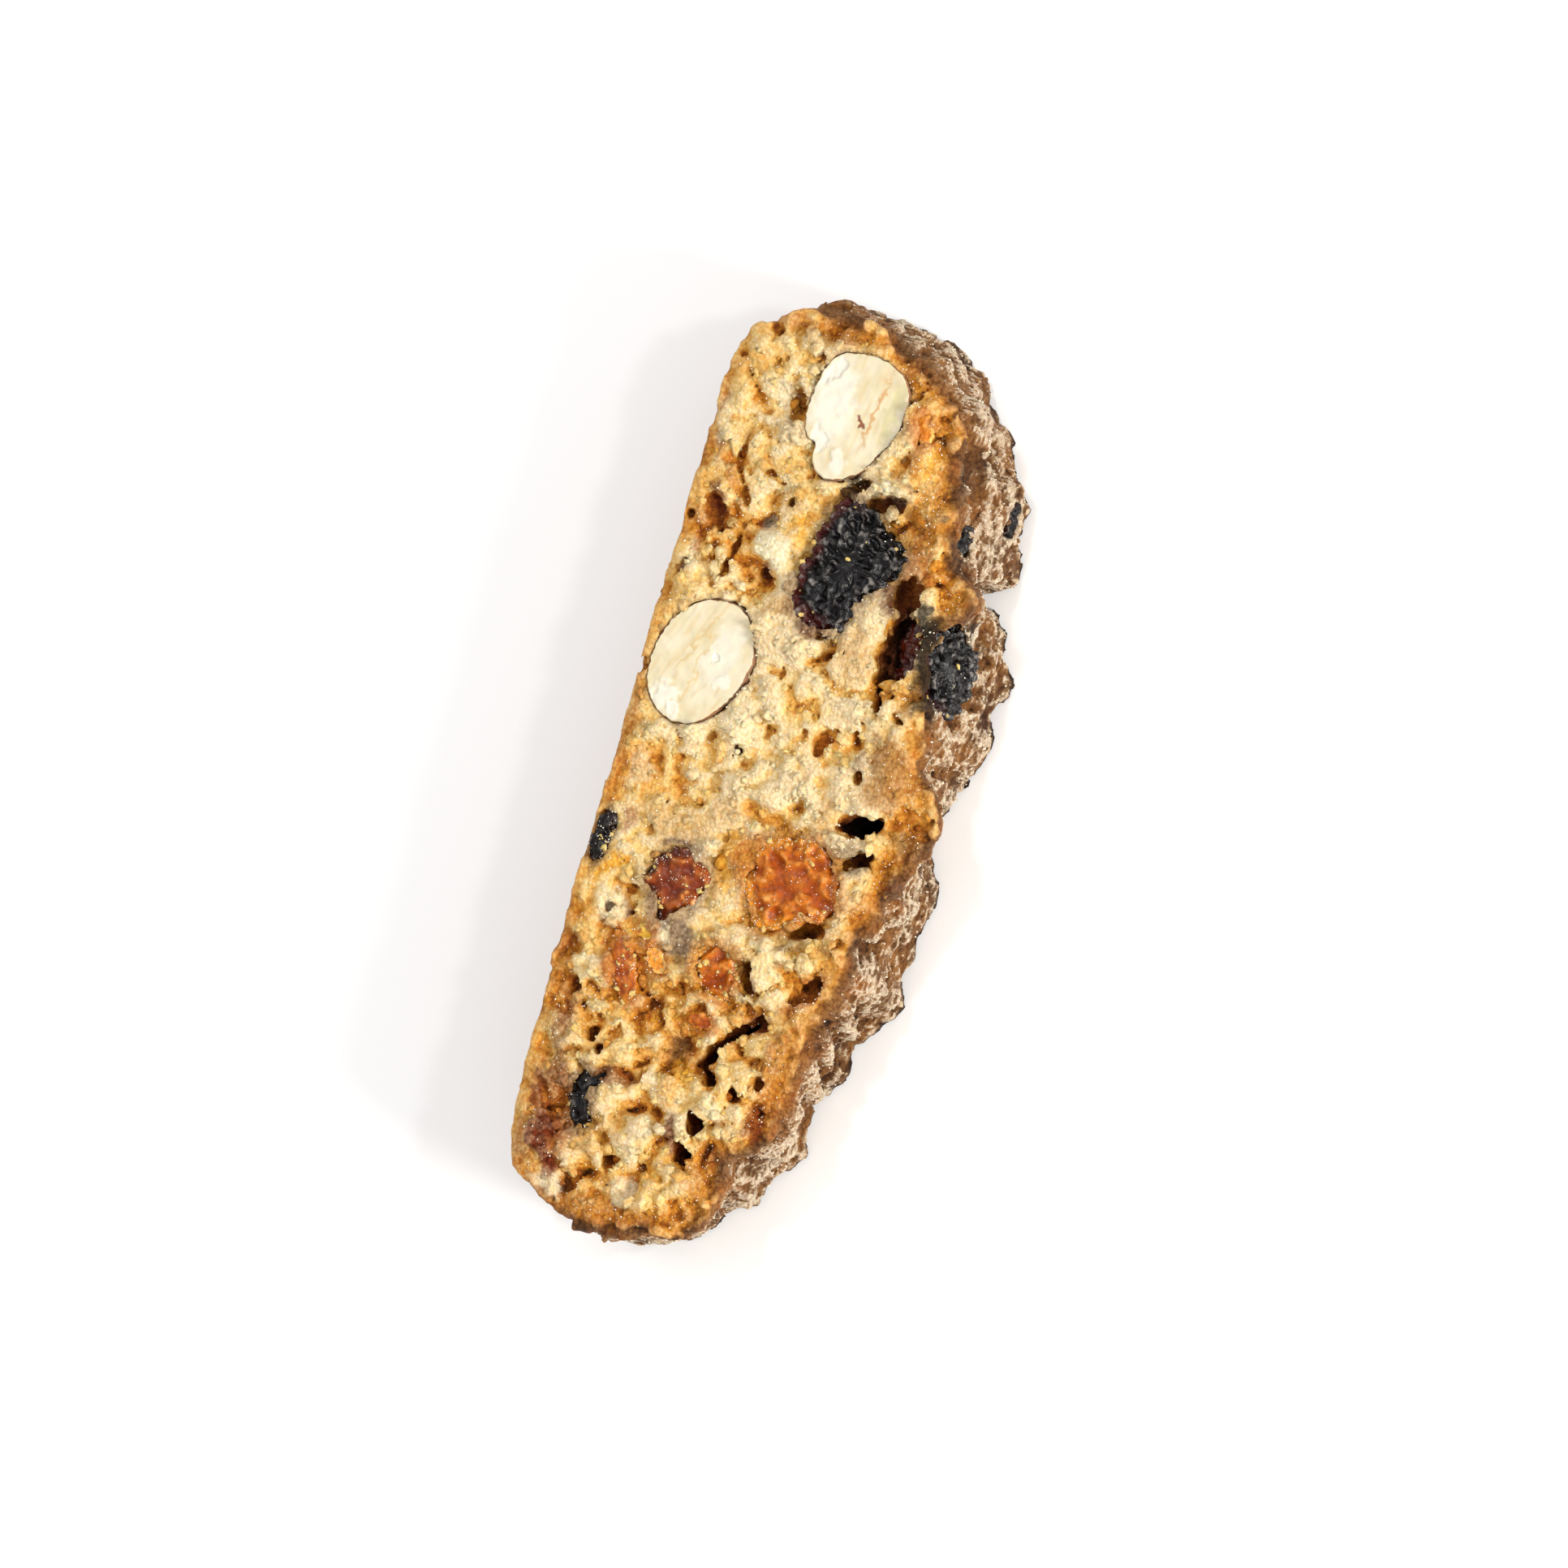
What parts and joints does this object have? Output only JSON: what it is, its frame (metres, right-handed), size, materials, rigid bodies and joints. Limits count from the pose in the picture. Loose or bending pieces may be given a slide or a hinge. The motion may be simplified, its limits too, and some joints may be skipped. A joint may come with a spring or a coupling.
{
  "type": "cantuccini biscuit",
  "caption": "Slice of twice-baked almond biscuit with dried fruit and candied peel, one craggy domed crust side, flat base edge, two cut faces.",
  "frame": {"origin": "centre of the bounding box in plan, at the level of the lower cut face", "axes": "+X along the slice's length; +Y towards the straight edge of the loaf's base, with the domed crust at -Y; +Z out of the upper cut face"},
  "size_m": [0.089, 0.0335, 0.0158],
  "materials": {
    "dough_crumb": "matte golden baked crumb with brown floury crust",
    "almond_kernel": "matt cream cut nut with a thin brown skin",
    "dark_plum": "sticky gloss, nearly black",
    "dark_raisin": "half gloss, nearly black",
    "candied_apricot": "moist satin orange red",
    "red_sultana": "moist gloss red brown",
    "candied_peel": "moist gloss dark red brown",
    "orange_peel": "satin orange",
    "yellow_citron": "satin yellow"
  },
  "bodies": {
    "root": {"dough": "dough_crumb", "almond_upper": "almond_kernel", "almond_middle": "almond_kernel", "plum_centre": "dark_plum", "plum_crust": "dark_plum", "raisin_top": "dark_raisin", "raisin_rim": "dark_raisin", "raisin_base": "dark_raisin", "raisin_lower": "dark_raisin", "apricot_large": "candied_apricot", "sultana": "red_sultana", "peel_red": "candied_peel", "apricot_small": "candied_apricot", "peel_chip": "candied_peel", "orange_upper": "orange_peel", "orange_chip": "orange_peel", "citron_bit": "yellow_citron"}
  },
  "joints": []
}
